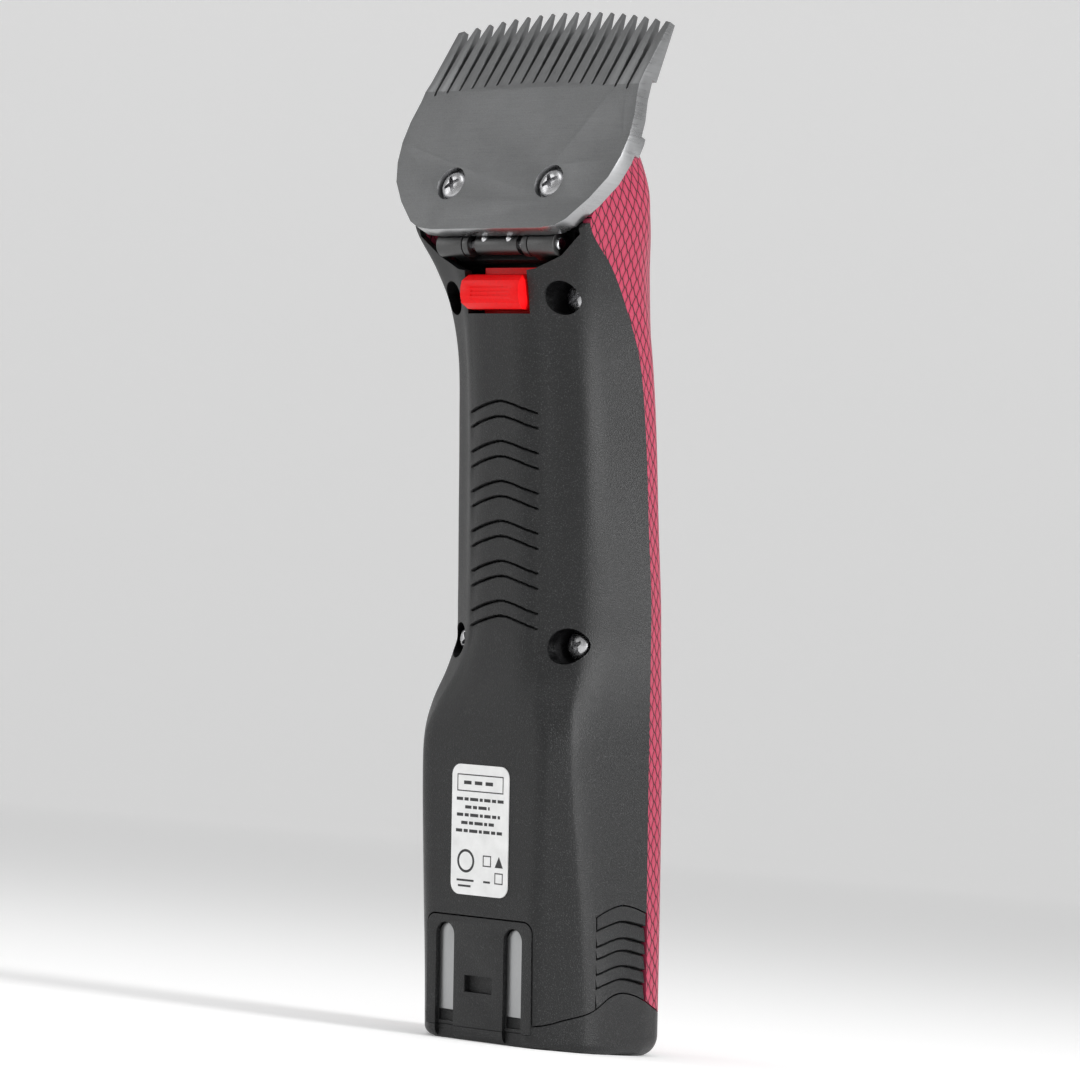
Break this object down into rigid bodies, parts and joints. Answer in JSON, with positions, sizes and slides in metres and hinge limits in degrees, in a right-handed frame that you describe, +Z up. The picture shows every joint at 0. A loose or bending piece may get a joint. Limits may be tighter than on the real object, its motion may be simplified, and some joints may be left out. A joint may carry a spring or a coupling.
{
  "type": "cordless animal clipper",
  "caption": "Cordless livestock clipper: two-shell handle with motor and eccentric drive, hinged clip-on comb and cutter set, and a slide-out battery pack in the foot.",
  "frame": {"origin": "middle of the standing clipper's box, on the surface that its flat foot rests on", "axes": "+Z up through the blades, -Y the side with the screws, ribs and red release button, +X to the right when that side is seen from the front"},
  "size_m": [0.0608, 0.057, 0.2031],
  "materials": {
    "black_plastic": "fine grained moulded nylon, dark grey",
    "red_shell": "raspberry red lacquered shell with a fine oval scale pattern",
    "frame_plastic": "black moulded nylon",
    "blade_steel": "bead-blasted carbon steel with ground teeth and edges",
    "cutter_steel": "ground carbon steel",
    "bright_steel": "bright zinc-plated sheet and pins",
    "screw_steel": "bright zinc-plated screws",
    "spring_steel": "blued spring steel",
    "button_red": "bright red moulded plastic",
    "label_white": "white film label, plain",
    "motor_steel": "zinc-plated motor can",
    "bronze": "sintered bronze",
    "copper": "copper windings and commutator",
    "contact_brass": "gold-plated contacts",
    "nickel": "nickel-plated charging strips",
    "felt": "oiled grey felt",
    "board_green": "solder-masked circuit board",
    "led_clear": "clear lens",
    "seal_rubber": "black silicone",
    "wire_red": "red silicone-insulated wire",
    "wire_black": "black silicone-insulated wire",
    "cell_wrap": null,
    "magnet": "sintered ferrite"
  },
  "bodies": {
    "housing": {"back_shell": "black_plastic", "front_shell": "red_shell", "head_frame": "frame_plastic", "housing_screws": "screw_steel", "rating_plate": "label_white", "hinge_pin": "spring_steel", "hinge_bracket": "spring_steel", "motor_can": "motor_steel", "motor_end_cap": "frame_plastic", "motor_terminals": "contact_brass", "motor_magnets": "magnet", "motor_mount": "seal_rubber", "front_bearing": "bronze", "lever_pin": "bright_steel", "grease_seal": "felt", "circuit_board": "board_green", "power_switch": "frame_plastic", "status_leds": "led_clear", "light_pipe": "led_clear", "button_seal": "seal_rubber", "bay_contacts": "contact_brass", "battery_leads": "wire_red", "motor_leads": "wire_black", "release_spring": "spring_steel"},
    "tongue": {"hinge_tongue": "bright_steel", "tongue_rivets": "bright_steel"},
    "blade_set": {"comb_blade": "blade_steel", "blade_screws": "screw_steel", "blade_socket": "bright_steel", "tension_spring": "spring_steel"},
    "cutter": {"cutter_blade": "cutter_steel", "cutter_guide": "frame_plastic"},
    "rotor": {"motor_shaft": "bright_steel", "motor_armature": "copper", "commutator": "copper", "eccentric": "bright_steel", "eccentric_bearing": "bright_steel"},
    "lever": {"drive_lever": "cutter_steel", "lever_bush": "bronze"},
    "release_key": {"release_button": "button_red"},
    "power_key": {"power_button": "seal_rubber"},
    "battery": {"battery_cap": "black_plastic", "battery_case": "black_plastic", "battery_cells": "cell_wrap", "cell_straps": "nickel", "pack_board": "board_green", "charge_contacts": "nickel", "pack_terminals": "contact_brass", "latch_springs": "spring_steel"},
    "left_latch": {"latch_left": "black_plastic"},
    "right_latch": {"latch_right": "black_plastic"}
  },
  "joints": [
    {"name": "blade_hinge", "type": "hinge", "parent": "housing", "child": "tongue", "pos_m": [0, -0.02309, 0.155], "axis": [1, 0, 0], "range_deg": [0, 60]},
    {"name": "blade_slide", "type": "slide", "parent": "tongue", "child": "blade_set", "axis": [0, 0.304, 0.9527], "range_m": [0, 0.022]},
    {"name": "cutter_stroke", "type": "slide", "parent": "blade_set", "child": "cutter", "axis": [1, 0, 0], "range_m": [-0.00098, 0.00098]},
    {"name": "lever_swing", "type": "hinge", "parent": "housing", "child": "lever", "pos_m": [0, -0.00659, 0.14913], "axis": [0, 0.994, 0.1097], "range_deg": [-2.2, 2.2]},
    {"name": "rotor_spin", "type": "hinge", "parent": "housing", "child": "rotor", "pos_m": [0, 0.00133, 0.08561], "axis": [0, -0.1097, 0.994], "continuous": true},
    {"name": "release_press", "type": "slide", "parent": "housing", "child": "release_key", "axis": [0, 0.994, 0.1097], "range_m": [0, 0.0018], "stiffness_N_per_m": 800, "springref_m": -0.001, "deforming": ["release_spring"]},
    {"name": "power_press", "type": "slide", "parent": "housing", "child": "power_key", "axis": [0, -0.994, -0.1097], "range_m": [0, 0.0007], "stiffness_N_per_m": 1200, "springref_m": -0.0005},
    {"name": "battery_slide", "type": "slide", "parent": "housing", "child": "battery", "axis": [0, 0.1097, -0.994], "range_m": [0, 0.07]},
    {"name": "left_latch_press", "type": "hinge", "parent": "battery", "child": "left_latch", "pos_m": [-0.0202, 0.00711, 0.01321], "axis": [0, 0.994, 0.1097], "range_deg": [0, 3.5], "stiffness_Nm_per_rad": 2, "springref_deg": -2.86, "deforming": ["latch_springs"]},
    {"name": "right_latch_press", "type": "hinge", "parent": "battery", "child": "right_latch", "pos_m": [0.0202, 0.00711, 0.01321], "axis": [0, -0.994, -0.1097], "range_deg": [0, 3.5], "stiffness_Nm_per_rad": 2, "springref_deg": -2.86}
  ],
  "couplings": [
    {"joint": "lever_swing", "follows": "cutter_stroke", "rad_per_m": 39.06}
  ]
}
